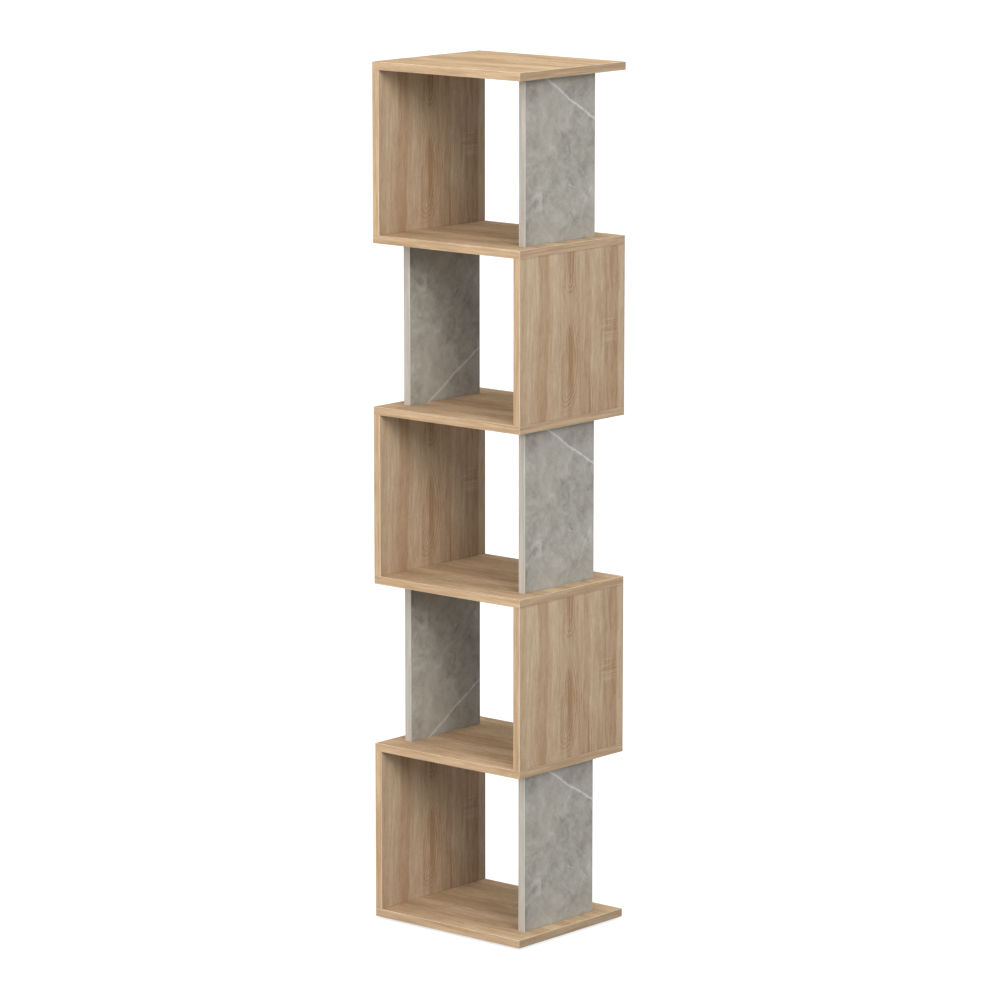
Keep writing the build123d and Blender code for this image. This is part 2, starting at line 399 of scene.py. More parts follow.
class Spot(Effect):
    """A soft oval mask on a sheet."""

    name = "spot"
    takes = {
        "Vector": (SocketKind.VECTOR, None),
        "Centre": (SocketKind.VECTOR, (0.0, 0.0, 0.0)),
        "Radii": (SocketKind.VECTOR, (0.01, 1.0, 0.01)),
        "Softness": (SocketKind.FLOAT, 0.6),
    }
    gives = {"Mask": SocketKind.FLOAT}

    def draw(self, sketch: Sketch, takes: dict[str, Wire]) -> dict[str, Wire]:
        """Draws the group's nodes.

        Args:
            sketch: Sketch of the group's tree.
            takes: The group's inputs, by name.

        Returns:
            The mask, which is 1 inside the oval.
        """
        offset = sketch.vector("SUBTRACT", takes["Vector"], takes["Centre"])
        distance = sketch.vector("LENGTH", sketch.vector("DIVIDE", offset, takes["Radii"]))
        softness = takes["Softness"]
        return {"Mask": sketch.smooth(distance, 1.0 - softness, softness + 1.0, 1.0, 0.0)}


@dataclass(frozen=True)
class FlamePlace:
    """Where a flame stands on a sheet of oak decor, how big it is, and how far its lines reach."""

    centre: Triple
    half_width: float
    half_length: float
    lean: float
    reach: float


class Flame(Effect):
    """A flame figure: a bowed lens of warm heartwood, and growth lines that bend about its foot."""

    name = "flame"
    takes = {
        "Vector": (SocketKind.VECTOR, None),
        "Centre": (SocketKind.VECTOR, (0.0, 0.0, 0.0)),
        "Half Width": (SocketKind.FLOAT, 0.009),
        "Half Length": (SocketKind.FLOAT, 0.060),
        "Lean": (SocketKind.FLOAT, 0.009),
        "Line Pitch": (SocketKind.FLOAT, 0.0072),
        "Reach": (SocketKind.FLOAT, 0.030),
    }
    gives = {"Heart": SocketKind.FLOAT, "Lines": SocketKind.FLOAT}
    tatter = Noise((130.0, 1.0, 40.0), 3.0, 0.6)
    threads = Noise((520.0, 1.0, 14.0), 2.0, 0.6)
    lens_tatter = 0.45
    line_tatter = 0.0050
    foot_share = 0.95
    foot_squeeze = 0.8

    def draw(self, sketch: Sketch, takes: dict[str, Wire]) -> dict[str, Wire]:
        """Draws the group's nodes.

        Args:
            sketch: Sketch of the group's tree.
            takes: The group's inputs, by name.

        Returns:
            The mask of the heartwood and the mask of the growth lines.
        """
        ragged = sketch.noise(takes["Vector"], self.tatter) - 0.5
        across, _, along = sketch.split(sketch.vector("SUBTRACT", takes["Vector"], takes["Centre"]))
        run = along / takes["Half Length"]
        bow = sketch.maths("MINIMUM", run * run, 1.5)
        across = bow * takes["Lean"] + across
        beside = across / takes["Half Width"]
        lens = ragged * self.lens_tatter + sketch.vector("LENGTH", sketch.join(beside, 0.0, run))
        heart = sketch.smooth(lens, 0.66, 1.06, 1.0, 0.0)

        # The lens is darkest along its left side and is drawn out in threads
        heart = heart * sketch.smooth(beside, -0.7, 0.9, 1.0, 0.30)
        threads = sketch.noise(takes["Vector"], self.threads)
        heart = heart * sketch.smooth(threads, 0.36, 0.60, 0.50, 1.15)

        # Lines stand beside the lens and bend about its foot in nested arcs
        foot = along + takes["Half Length"] * self.foot_share
        below = sketch.maths("MINIMUM", foot, 0.0) * self.foot_squeeze
        away = ragged * self.line_tatter + sketch.vector("LENGTH", sketch.join(across, 0.0, below))
        wave = sketch.maths("PINGPONG", away / takes["Line Pitch"], 0.5)
        lines = sketch.smooth(wave, 0.02, 0.40, 1.0, 0.0)
        reach = sketch.smooth(away, takes["Reach"] * 0.3, takes["Reach"], 1.0, 0.0)
        rise = sketch.smooth(run, 0.4, 2.0, 1.0, 0.0)
        fall = sketch.smooth(run, -2.6, -1.5)
        right = sketch.smooth(across, -0.012, 0.004, 0.35, 1.0)
        return {"Heart": heart, "Lines": lines * (reach * rise * (fall * right))}


@dataclass(frozen=True)
class Plank:
    """Layout of one sheet of oak decor.

    The bands are places across the sheet, from 0 to 1, with their tone. The saw marks have a
    centre and radii. The wander is how far the bands swing, and the drift how much the sheet
    pales per metre along the grain.
    """

    name: str
    width: float
    bands: tuple[tuple[float, float], ...]
    flames: tuple[FlamePlace, ...]
    saw_centre: Triple
    saw_radii: Triple
    wander: float
    drift: float


class OakFigure(Effect):
    """The figure of an oak decor: bands, streaks, fibres, flames and saw marks."""

    takes = {
        "Vector": (SocketKind.VECTOR, None),
        "Band Contrast": (SocketKind.FLOAT, 1.0),
        "Figure Strength": (SocketKind.FLOAT, 1.0),
        "Saw Mark Strength": (SocketKind.FLOAT, 1.0),
    }
    gives = {"Tone": SocketKind.FLOAT, "Warmth": SocketKind.FLOAT, "Height": SocketKind.FLOAT}
    swing = GrainNoise(5.0, 4.5, 0.0, 1.0)
    ripple = GrainNoise(30.0, 14.0, 2.0, weight=0.0060)
    vigour = GrainNoise(11.0, 3.2, 24.0, 1.0)
    shadow = GrainNoise(34.0, 2.6, 4.0, 3.0, 0.55, weight=0.42)
    streak = GrainNoise(105.0, 9.5, 6.0, 3.0, 0.6, weight=0.28)
    fibre = GrainNoise(310.0, 30.0, 8.0, 3.0, 0.65, weight=0.22)
    flecks = GrainNoise(420.0, 110.0, 20.0, 2.0, 0.6, weight=0.36)
    pores = GrainNoise(1500.0, 90.0, 10.0, 1.0)
    hairs = GrainNoise(1000.0, 14.0, 22.0, 2.0, 0.6)
    saw_strokes = GrainNoise(14.0, 430.0, 14.0, 2.0, 0.6)
    saw_patches = GrainNoise(9.0, 14.0, 16.0, 1.0)
    warmth = GrainNoise(16.0, 2.0, 18.0, 1.0, weight=1.6)
    crisp_streak_weight = 0.11
    crisp_fibre_weight = 0.09
    line_darkness = 0.26
    heart_darkness = 0.32
    saw_paleness = 0.34
    hair_darkness = 0.12
    pore_darkness = 0.16
    level = 0.53

    def __init__(self, plank: Plank) -> None:
        """Keeps the layout.

        Args:
            plank: Layout of the sheet that the group draws.
        """
        self.plank = plank
        self.name = f"oak_figure_{plank.name}"

    def draw(self, sketch: Sketch, takes: dict[str, Wire]) -> dict[str, Wire]:
        """Draws the group's nodes.

        Args:
            sketch: Sketch of the group's tree.
            takes: The group's inputs, by name.

        Returns:
            The tone from dark to pale, how warm it is, and the height of the relief.
        """
        plank = self.plank
        across, side, along = sketch.split(takes["Vector"])

        def noise(kind: GrainNoise, source: Wire) -> Wire:
            """Value of one of the grain's noises, from a coordinate across the grain."""
            place = sketch.join(source * kind.cross, side + kind.layer, along * kind.length)
            return sketch.noise(place, kind.plain)

        swing = (noise(self.swing, across) - 0.5) * plank.wander
        ripple = (noise(self.ripple, across) - 0.5) * self.ripple.weight
        grain = across + (swing + ripple)
        share = grain / plank.width + 0.5
        stops = tuple((place, (tone, tone, tone, 1.0)) for place, tone in plank.bands)
        bands = sketch.ramp(sketch.maths("FRACT", share), stops, "EASE")
        vigour = sketch.smooth(noise(self.vigour, grain), 0.32, 0.68, 0.50, 1.30)
        shadow, streak, fibre, flecks = (
            noise(kind, grain) for kind in (self.shadow, self.streak, self.fibre, self.flecks)
        )
        pores, hairs = noise(self.pores, grain), noise(self.hairs, grain)

        bent = sketch.join(across + ripple, side, along)
        flames = [
            Flame().place(
                sketch, Vector=bent, Centre=one.centre, Half_Width=one.half_width,
                Half_Length=one.half_length, Lean=one.lean, Reach=one.reach,
            )
            for one in plank.flames
        ]
        heart = sketch.largest([one["Heart"] for one in flames]) * takes["Figure Strength"]
        lines = sketch.largest([one["Lines"] for one in flames]) * takes["Figure Strength"]

        # Saw marks: short strokes across the grain, in one clear patch and in faint ones
        strokes = sketch.smooth(noise(self.saw_strokes, across), 0.40, 0.64)
        clear = Spot().place(
            sketch, Vector=takes["Vector"], Centre=plank.saw_centre, Radii=plank.saw_radii, Softness=0.35
        )["Mask"]
        faint = sketch.smooth(noise(self.saw_patches, across), 0.58, 0.78, 0.0, 0.35)
        saw = (strokes - 0.35) * sketch.largest([clear, faint]) * takes["Saw Mark Strength"]

        tone = (bands - 0.5) * takes["Band Contrast"] * vigour
        for layer, weight in (
            (shadow, self.shadow.weight),
            (streak, self.streak.weight),
            (sketch.smooth(streak, 0.40, 0.60), self.crisp_streak_weight),
            (fibre, self.fibre.weight),
            (sketch.smooth(fibre, 0.42, 0.58), self.crisp_fibre_weight),
            (flecks, self.flecks.weight),
        ):
            tone = tone + (layer - 0.5) * weight
        tone = tone - lines * self.line_darkness - heart * self.heart_darkness + saw * self.saw_paleness
        tone = tone - sketch.smooth(hairs, 0.54, 0.66, 0.0, self.hair_darkness)
        tone = tone - sketch.smooth(pores, 0.60, 0.74, 0.0, self.pore_darkness)
        tone = tone + (along * plank.drift + self.level)
        warm = (noise(self.warmth, grain) - 0.5) * self.warmth.weight
        warm = warm + (heart * 0.5 + 0.5) + (0.5 - bands) * 1.6
        height = sketch.smooth(pores, 0.58, 0.76, 1.0, 0.0)
        height = height + (fibre - 0.5) * 0.8 + (strokes - 0.5) * 0.5
        return {"Tone": tone, "Warmth": warm, "Height": height}


UPRIGHT_PLANK = Plank(
    name="upright",
    width=295 * MM,
    bands=(
        (0.00, 0.59), (0.05, 0.55), (0.065, 0.62), (0.16, 0.63), (0.18, 0.45), (0.265, 0.34),
        (0.285, 0.67), (0.395, 0.62), (0.415, 0.47), (0.50, 0.42), (0.525, 0.54), (0.61, 0.51),
        (0.63, 0.43), (0.67, 0.46), (0.69, 0.58), (0.79, 0.53), (0.81, 0.38), (0.925, 0.32),
        (0.94, 0.62), (1.00, 0.56),
    ),
    flames=(
        FlamePlace((-0.001, 0.0, -0.042), 0.0105, 0.064, 0.013, 0.042),
        FlamePlace((-0.007, 0.0, 0.152), 0.0110, 0.060, 0.0, 0.026),
        FlamePlace((0.050, 0.0, -0.125), 0.0050, 0.040, 0.004, 0.020),
    ),
    saw_centre=(0.106, 0.0, -0.002),
    saw_radii=(0.025, BOTH_FACES, 0.021),
    wander=0.024,
    drift=0.42,
)
SHELF_PLANK = Plank(
    name="shelf",
    width=295 * MM,
    bands=(
        (0.00, 0.34), (0.073, 0.40), (0.12, 0.34), (0.168, 0.36), (0.215, 0.38), (0.26, 0.43),
        (0.31, 0.43), (0.36, 0.42), (0.405, 0.36), (0.45, 0.31), (0.50, 0.28), (0.54, 0.32),
        (0.57, 0.41), (0.60, 0.49), (0.64, 0.51), (0.67, 0.49), (0.70, 0.45), (0.74, 0.39),
        (0.77, 0.35), (0.80, 0.34), (0.84, 0.35), (0.90, 0.40), (0.95, 0.38), (1.00, 0.34),
    ),
    flames=(
        FlamePlace((0.030, 0.0, -0.020), 0.0100, 0.100, 0.016, 0.045),
        FlamePlace((-0.062, 0.0, 0.110), 0.0080, 0.090, -0.012, 0.030),
    ),
    saw_centre=(0.004, 0.0, 0.160),
    saw_radii=(0.028, BOTH_FACES, 0.020),
    wander=0.040,
    drift=0.40,
)


class StoneClouds(Effect):
    """The clouded ground of a stone decor, with smudges, flecks and pale blotches."""

    name = "stone_clouds"
    takes = {
        "Vector": (SocketKind.VECTOR, None),
        "Cloud Contrast": (SocketKind.FLOAT, 1.0),
        "Blotch Strength": (SocketKind.FLOAT, 1.0),
    }
    gives = {"Tone": SocketKind.FLOAT, "Warmth": SocketKind.FLOAT, "Height": SocketKind.FLOAT}
    broad = StoneNoise(7.0, 3.0, 0.55, 0.6, 0.75, 0.3)
    cloud = StoneNoise(22.0, 5.0, 0.6, 1.2, 0.80, 1.1)
    mottle = StoneNoise(75.0, 4.0, 0.65, 0.6, 0.55, 2.7)
    fine = StoneNoise(420.0, 3.0, 0.7, 0.0, 0.34, 3.9)
    grit = StoneNoise(1700.0, 2.0, 0.6, 0.0, 0.30, 5.1)
    warmth = StoneNoise(11.0, 2.0, 0.5, 0.4, 1.8, 6.3)
    hairline_course = StoneNoise(15.0, 4.0, 0.55, 1.4, 1.0, 7.7)
    hairline_patches = StoneNoise(24.0, 2.0, 0.5, 0.0, 1.0, 8.8)
    smudge = Noise((52.0, 1.0, 15.0), 4.0, 0.6, 0.8)
    smudge_slant = 38.0
    smudge_darkness = 0.20
    hairline_paleness = 0.26
    blotch_paleness = 0.42
    blotch_softness = 0.8
    blotch_edge = Noise((60.0, 1.0, 60.0), 4.0, 0.65)
    blotches = (
        ((-0.056, 0.0, -0.067), (0.017, BOTH_FACES, 0.020)),
        ((0.080, 0.0, -0.070), (0.015, BOTH_FACES, 0.017)),
        ((-0.024, 0.0, 0.018), (0.010, BOTH_FACES, 0.012)),
    )

    def draw(self, sketch: Sketch, takes: dict[str, Wire]) -> dict[str, Wire]:
        """Draws the group's nodes.

        Args:
            sketch: Sketch of the group's tree.
            takes: The group's inputs, by name.

        Returns:
            The tone from dark to pale, how warm it is, and the height of the relief.
        """
        def layer(kind: StoneNoise) -> Wire:
            """One noise of the ground, moved about zero and weighted."""
            moved = sketch.vector("ADD", takes["Vector"], (kind.shift, kind.shift, kind.shift))
            return (sketch.noise(moved, kind.plain) - 0.5) * kind.weight

        fine, grit = layer(self.fine), layer(self.grit)
        tone = (layer(self.broad) + layer(self.cloud)) + (layer(self.mottle) + fine)
        tone = (tone + grit) * takes["Cloud Contrast"]

        # Dark smudges in slanting strokes, and pale blotches with ragged edges
        turn = (0.0, math.radians(self.smudge_slant), 0.0)
        slanting = sketch.wire("ShaderNodeMapping", {"Vector": takes["Vector"], "Rotation": turn})
        smudge = sketch.smooth(sketch.noise(slanting, self.smudge), 0.56, 0.76)
        ragged = sketch.noise(takes["Vector"], self.blotch_edge)
        spots = [
            Spot().place(
                sketch, Vector=takes["Vector"], Centre=centre, Radii=radii, Softness=self.blotch_softness
            )["Mask"]
            for centre, radii in self.blotches
        ]
        pale = sketch.largest(spots) * sketch.smooth(ragged, 0.38, 0.62) * takes["Blotch Strength"]

        # Hairlines where a bent noise crosses its middle, in patches
        hairline = sketch.smooth(abs(layer(self.hairline_course)), 0.001, 0.008, 1.0, 0.0)
        hairline = hairline * sketch.smooth(layer(self.hairline_patches), 0.0, 0.12)
        tone = tone - smudge * self.smudge_darkness
        tone = tone + hairline * self.hairline_paleness + pale * self.blotch_paleness + 0.5
        return {"Tone": tone, "Warmth": layer(self.warmth) + 0.5, "Height": fine + grit}


@dataclass(frozen=True)
class VeinPlace:
    """Where a vein runs on a sheet of stone decor, and how wide, crooked and clear it is."""

    start: Triple
    end: Triple
    width: float
    wander: float
    strength: float


class StoneVein(Effect):
    """A thin pale vein from one point of the sheet to another, wandering and broken."""

    name = "stone_vein"
    takes = {
        "Vector": (SocketKind.VECTOR, None),
        "Start": (SocketKind.VECTOR, (0.0, 0.0, 0.0)),
        "End": (SocketKind.VECTOR, (0.1, 0.0, 0.0)),
        "Width": (SocketKind.FLOAT, 0.0012),
        "Wander": (SocketKind.FLOAT, 0.006),
    }
    gives = {"Mask": SocketKind.FLOAT}
    bends_per_metre = 17.0
    swells_per_metre = 60.0
    jitter = Noise((150.0, 1.0, 150.0), 3.0, 0.6)
    jitter_share = 0.35
    halo_reach = 3.5
    halo_strength = 0.22

    def draw(self, sketch: Sketch, takes: dict[str, Wire]) -> dict[str, Wire]:
        """Draws the group's nodes.

        Args:
            sketch: Sketch of the group's tree.
            takes: The group's inputs, by name.

        Returns:
            The vein's mask.
        """
        flat = sketch.vector("MULTIPLY", takes["Vector"], (1.0, 0.0, 1.0))
        run = sketch.vector("SUBTRACT", takes["End"], takes["Start"])
        ahead = sketch.vector("NORMALIZE", run)
        ahead_x, _, ahead_z = sketch.split(ahead)
        aside = sketch.join(ahead_z * -1.0, 0.0, ahead_x)
        offset = sketch.vector("SUBTRACT", flat, takes["Start"])
        travelled = sketch.vector("DOT_PRODUCT", offset, ahead)
        away = sketch.vector("DOT_PRODUCT", offset, aside)
        slow = sketch.noise(sketch.join(travelled * self.bends_per_metre, 0.3, 0.0), Noise())
        quick = sketch.noise(flat, self.jitter)
        shift = (quick - 0.5) * self.jitter_share + (slow - 0.5)
        away = abs(shift * takes["Wander"] + away)
        swell = sketch.noise(sketch.join(travelled * self.swells_per_metre, 3.0, 1.0), Noise())
        width = takes["Width"] * (swell * 1.6 + 0.2)
        core = sketch.smooth(away, width * 0.3, width, 1.0, 0.0)
        halo = sketch.smooth(away, width, width * self.halo_reach, self.halo_strength, 0.0)
        start = sketch.smooth(travelled, -0.002, 0.004)
        end = sketch.smooth(sketch.vector("LENGTH", run) - travelled, -0.002, 0.004)
        worn = sketch.smooth(swell, 0.22, 0.45, 0.45, 1.0)
        return {"Mask": sketch.largest([core, halo]) * worn * (start * end)}


class EdgeGrain(Effect):
    """Strokes of an edging strip that run along the strip, level or standing."""

    name = "edge_grain"
    takes = {
        "Vector": (SocketKind.VECTOR, None),
        "Normal": (SocketKind.VECTOR, None),
        "Stands": (SocketKind.FLOAT, 0.0),
    }
    gives = {"Tone": SocketKind.FLOAT, "Height": SocketKind.FLOAT}
    strokes = (
        GrainNoise(150.0, 7.0, 1.0, 3.0, 0.6, weight=1.3),
        GrainNoise(380.0, 20.0, 2.0, 3.0, 0.6, weight=0.8),
        GrainNoise(1300.0, 80.0, 3.0, 3.0, 0.6, weight=0.4),
    )
    end_darkness = 0.16

    def draw(self, sketch: Sketch, takes: dict[str, Wire]) -> dict[str, Wire]:
        """Draws the group's nodes.

        Args:
            sketch: Sketch of the group's tree.
            takes: The group's inputs, by name.

        Returns:
            The tone from dark to pale and the height of the relief.
        """
        x, y, height = sketch.split(takes["Vector"])
        at_end = sketch.maths("GREATER_THAN", abs(sketch.split(takes["Normal"])[0]), 0.7)

        def choose(share: Wire, first: Wire, second: Wire) -> Wire:
            """First value where the share is 0, second where it is 1."""
            return (second - first) * share + first

        flat = choose(at_end, x, y)
        run = choose(takes["Stands"], flat, height)
        rise = choose(takes["Stands"], height, flat)
        depth = choose(at_end, y, x)

        def stroke(kind: GrainNoise) -> Wire:
            """Noise drawn out along the strip, moved about zero and weighted."""
            place = sketch.join(run * kind.length, rise * kind.cross, depth * 3.0 + kind.layer)
            return (sketch.noise(place, kind.plain) - 0.5) * kind.weight

        broad, middle, fine = (stroke(kind) for kind in self.strokes)
        level = 0.5 - at_end * self.end_darkness
        return {"Tone": (broad + middle) + (fine + level), "Height": fine + middle}


class RoundedEdge(Effect):
    """Mask of the rounded corners of a piece, which are paled partly by wear and partly by a painted
    highlight.
    """

    name = "rounded_edge"
    takes = {"Vector": (SocketKind.VECTOR, None), "Normal": (SocketKind.VECTOR, None)}
    gives = {"Mask": SocketKind.FLOAT}
    patches = Noise((45.0, 45.0, 45.0), 3.0, 0.6)

    def draw(self, sketch: Sketch, takes: dict[str, Wire]) -> dict[str, Wire]:
        """Draws the group's nodes.

        Args:
            sketch: Sketch of the group's tree.
            takes: The group's inputs, by name.

        Returns:
            The corners' mask.
        """
        largest = sketch.largest([abs(part) for part in sketch.split(takes["Normal"])])
        mask = sketch.smooth(largest, 0.80, 0.99, 1.0, 0.0)
        # The pale corners, partly wear and partly a painted highlight, come and go in patches
        worn = sketch.smooth(sketch.noise(takes["Vector"], self.patches), 0.30, 0.62, 0.45, 1.0)
        return {"Mask": mask * worn}


class StripFlank(Effect):
    """Mask of a strip's thin sides, painted pale as a highlight line between a board's edge and its face.
    """

    name = "strip_flank"
    takes = {"Normal": (SocketKind.VECTOR, None), "Across": (SocketKind.VECTOR, (0.0, 0.0, 1.0))}
    gives = {"Mask": SocketKind.FLOAT}

    def draw(self, sketch: Sketch, takes: dict[str, Wire]) -> dict[str, Wire]:
        """Draws the group's nodes."""
        facing = sketch.vector("DOT_PRODUCT", takes["Normal"], takes["Across"])
        return {"Mask": sketch.smooth(abs(facing), 0.75, 0.95)}


class BoardRim(Effect):
    """Mask of the last millimetres of a board's face beside its edges."""

    name = "board_rim"
    takes = {
        "Vector": (SocketKind.VECTOR, None),
        "Half Size": (SocketKind.VECTOR, (0.1, 0.0, 0.1)),
        "Reach": (SocketKind.FLOAT, 0.004),
    }
    gives = {"Mask": SocketKind.FLOAT}
    patches = Noise((38.0, 1.0, 38.0), 3.0, 0.6)

    def draw(self, sketch: Sketch, takes: dict[str, Wire]) -> dict[str, Wire]:
        """Draws the group's nodes.

        Args:
            sketch: Sketch of the group's tree.
            takes: The group's inputs, by name.

        Returns:
            The rim's mask.
        """
        inside = sketch.vector("SUBTRACT", takes["Half Size"], sketch.vector("ABSOLUTE", takes["Vector"]))
        across, _, along = sketch.split(inside)
        nearest = sketch.maths("MINIMUM", across, along)
        reach = takes["Reach"] * (sketch.noise(takes["Vector"], self.patches) + 0.5)
        return {"Mask": sketch.smooth(nearest, 0.0, reach, 1.0, 0.0)}


class Handling(Effect):
    """Faint smears of handling and settled dust, for the roughness and a breath of colour."""

    name = "handling"
    takes = {"Vector": (SocketKind.VECTOR, None), "Normal": (SocketKind.VECTOR, None)}
    gives = {"Smear": SocketKind.FLOAT, "Dust": SocketKind.FLOAT}
    smears = Noise((16.0, 16.0, 16.0), 4.0, 0.6, 0.8)
    specks = Noise((90.0, 90.0, 90.0), 4.0, 0.7)

    def draw(self, sketch: Sketch, takes: dict[str, Wire]) -> dict[str, Wire]:
        """Draws the group's nodes.

        Args:
            sketch: Sketch of the group's tree.
            takes: The group's inputs, by name.

        Returns:
            The smears, and the dust on what faces up.
        """
        _, _, up = sketch.split(takes["Normal"])
        lying = sketch.smooth(up, 0.6, 0.95)
        dust = lying * sketch.smooth(sketch.noise(takes["Vector"], self.specks), 0.40, 0.75)
        return {"Smear": sketch.noise(takes["Vector"], self.smears), "Dust": dust}


class CastGrain(Effect):
    """Fine even texture of a moulded, cast or rolled surface, drawn out along one direction."""

    name = "cast_grain"
    takes = {
        "Vector": (SocketKind.VECTOR, None),
        "Stretch": (SocketKind.VECTOR, (1800.0, 1800.0, 1800.0)),
    }
    gives = {"Tone": SocketKind.FLOAT, "Height": SocketKind.FLOAT}
    fine = Noise(None, 3.0, 0.6)
    broad = Noise((110.0, 110.0, 110.0), 3.0, 0.6)

    def draw(self, sketch: Sketch, takes: dict[str, Wire]) -> dict[str, Wire]:
        """Draws the group's nodes.

        Args:
            sketch: Sketch of the group's tree.
            takes: The group's inputs, by name.

        Returns:
            The tone from dark to pale and the height of the relief.
        """
        fine = sketch.noise(sketch.vector("MULTIPLY", takes["Vector"], takes["Stretch"]), self.fine)
        broad = sketch.noise(takes["Vector"], self.broad)
        return {"Tone": fine * 0.5 + broad * 0.5, "Height": fine}


@dataclass
class Draft:
    """A material that is being made: its tree, its coordinates and its shader."""

    material: bpy.types.Material
    sketch: Sketch
    where: Wire
    facing: Wire
    shader: bpy.types.Node


@dataclass(frozen=True)
class Finish:
    """What every finish shares: gloss, relief, and how much settled dust pales it."""

    roughness: float = 0.5
    roughness_spread: float = 0.12
    specular: float = 0.35
    bump: float = 0.1
    bump_depth: float = 0.08 * MM
    dust: float = 0.0
    dust_colour: Colour = (194, 192, 187)

    def begin(self, name: str) -> Draft:
        """Starts a material.

        Args:
            name: The material's name.

        Returns:
            The material with its coordinates and its shader, and no colour yet.
        """
        material = bpy.data.materials.new(name)
        material.use_nodes = True
        material.node_tree.nodes.clear()
        sketch = Sketch(material.node_tree)
        place = sketch.add("ShaderNodeTexCoord")
        where, facing = Wire(sketch, place.outputs["Object"]), Wire(sketch, place.outputs["Normal"])
        shader = sketch.add("ShaderNodeBsdfPrincipled", {"Specular IOR Level": self.specular})
        sketch.add("ShaderNodeOutputMaterial", {"Surface": Wire(sketch, shader.outputs[0])})
        return Draft(material, sketch, where, facing, shader)

    def complete(self, draft: Draft, colour: Wire, height: Wire) -> bpy.types.Material:
        """Adds the marks of handling, and feeds colour, gloss and relief into the shader.

        Args:
            draft: The material so far.
            colour: The surface's colour.
            height: The height of the relief.

        Returns:
            The finished material.
        """
        sketch, inputs = draft.sketch, draft.shader.inputs
        hands = Handling().place(sketch, Vector=draft.where, Normal=draft.facing)
        if self.dust:
            colour = sketch.mix(hands["Dust"] * self.dust, colour, linear(*self.dust_colour))
        spread = self.roughness_spread / 2
        low, high = self.roughness - spread, self.roughness + spread
        relief = {"Strength": self.bump, "Distance": self.bump_depth, "Height": height}
        sketch.feed(inputs["Base Color"], colour)
        sketch.feed(inputs["Roughness"], sketch.smooth(hands["Smear"], 0.3, 0.7, low, high))
        sketch.feed(inputs["Normal"], sketch.wire("ShaderNodeBump", relief))
        return draft.material


@dataclass(frozen=True)
class BoardPlace:
    """Where a board's decor lies: the board's corners, the way of its grain and which end is up."""

    low: Vector
    high: Vector
    grain: Grain
    upside_down: bool = False

    @property
    def turn(self) -> Matrix:
        """Rotation from the frame to the sheet."""
        return Matrix(self.grain.value)

    @property
    def half_size(self) -> Vector:
        """Half of the board's size in the sheet's directions."""
        half = self.turn @ ((self.high - self.low) / 2)
        return Vector((abs(half.x), abs(half.y), abs(half.z)))

    def centred(self, where: Wire) -> Wire:
        """Turns coordinates to the sheet.

        Args:
            where: Object coordinates.

        Returns:
            Coordinates about the board's middle.
        """
        turn = self.turn
        middle = (self.low + self.high) / 2
        feeds = {"Vector": where, "Location": -(turn @ middle), "Rotation": turn.to_euler("XYZ")}
        return where.sketch.wire("ShaderNodeMapping", feeds, vector_type="POINT")

    def sheet(self, centred: Wire) -> Wire:
        """Gives each face its own picture.

        Args:
            centred: Coordinates about the board's middle.

        Returns:
            Coordinates of the decor.
        """
        sided = SheetSide().place(centred.sketch, Vector=centred)["Vector"]
        flip = (1.0, 1.0, -1.0) if self.upside_down else (1.0, 1.0, 1.0)
        feeds = {"Vector": sided, "Scale": flip}
        return centred.sketch.wire("ShaderNodeMapping", feeds, vector_type="POINT")


@dataclass(frozen=True, kw_only=True)
class DecorFinish(Finish):
    """Printed decor on a board's faces: three tones, a warm tint, and a rim of joint line and painted
    shade.
    """

    dark: Colour
    middle: Colour
    pale: Colour
    warm: Colour
    # Colour of the rim: partly a dark joint line, partly painted shade where the board meets its neighbours
    rim_line_and_shade: Colour
    tones: Triple
    warm_from: float
    warm_to: float
    warm_share: float
    rim_reach: float = 3 * MM
    rim_share: float = 0.22

    def figure(self, sketch: Sketch, sheet: Wire) -> dict[str, Wire]:
        """Places the decor's figure.

        Args:
            sketch: Sketch of the material's tree.
            sheet: Coordinates of the decor.

        Returns:
            Its tone, warmth and height.
        """
        raise NotImplementedError

    def overlay(self, sketch: Sketch, sheet: Wire, colour: Wire) -> Wire:
        """Colour with what lies on the figure, which is nothing here."""
        return colour

    def material(self, name: str, board: BoardPlace) -> bpy.types.Material:
        """Makes the material of one board.

        Args:
            name: The material's name.
            board: Where the board's decor lies.

        Returns:
            The new material.
        """
        draft = self.begin(name)
        sketch = draft.sketch
        centred = board.centred(draft.where)
        sheet = board.sheet(centred)
        figure = self.figure(sketch, sheet)
        colour = sketch.tones(figure["Tone"], self.tones, (self.dark, self.middle, self.pale))
        warmth = sketch.smooth(figure["Warmth"], self.warm_from, self.warm_to, 0.0, self.warm_share)
        colour = sketch.mix(warmth, colour, linear(*self.warm))
        colour = self.overlay(sketch, sheet, colour)
        # The rim is darkened, partly as a joint line and partly as painted shade where the board meets its
        # neighbours
        rim_line_and_shade = BoardRim().place(sketch, Vector=centred, Half_Size=board.half_size, Reach=self.rim_reach)
        colour = sketch.mix(rim_line_and_shade["Mask"] * self.rim_share, colour, linear(*self.rim_line_and_shade))
        return self.complete(draft, colour, figure["Height"])


@dataclass(frozen=True, kw_only=True)
class OakFinish(DecorFinish):
    """Light oak decor."""

    dark: Colour = (145, 114, 84)
    middle: Colour = (176, 150, 121)
    pale: Colour = (196, 175, 144)
    warm: Colour = (176, 139, 103)
    rim_line_and_shade: Colour = (118, 90, 65)
    tones: Triple = (0.08, 0.50, 0.92)
    warm_from: float = 0.4
    warm_to: float = 1.1
    warm_share: float = 0.34
    roughness: float = 0.64
    specular: float = 0.03
    bump: float = 0.25
    dust: float = 0.05
    plank: Plank = UPRIGHT_PLANK
    band_contrast: float = 1.1

    def figure(self, sketch: Sketch, sheet: Wire) -> dict[str, Wire]:
        """The oak's bands, flames and fibres."""
        return OakFigure(self.plank).place(sketch, Vector=sheet, Band_Contrast=self.band_contrast)


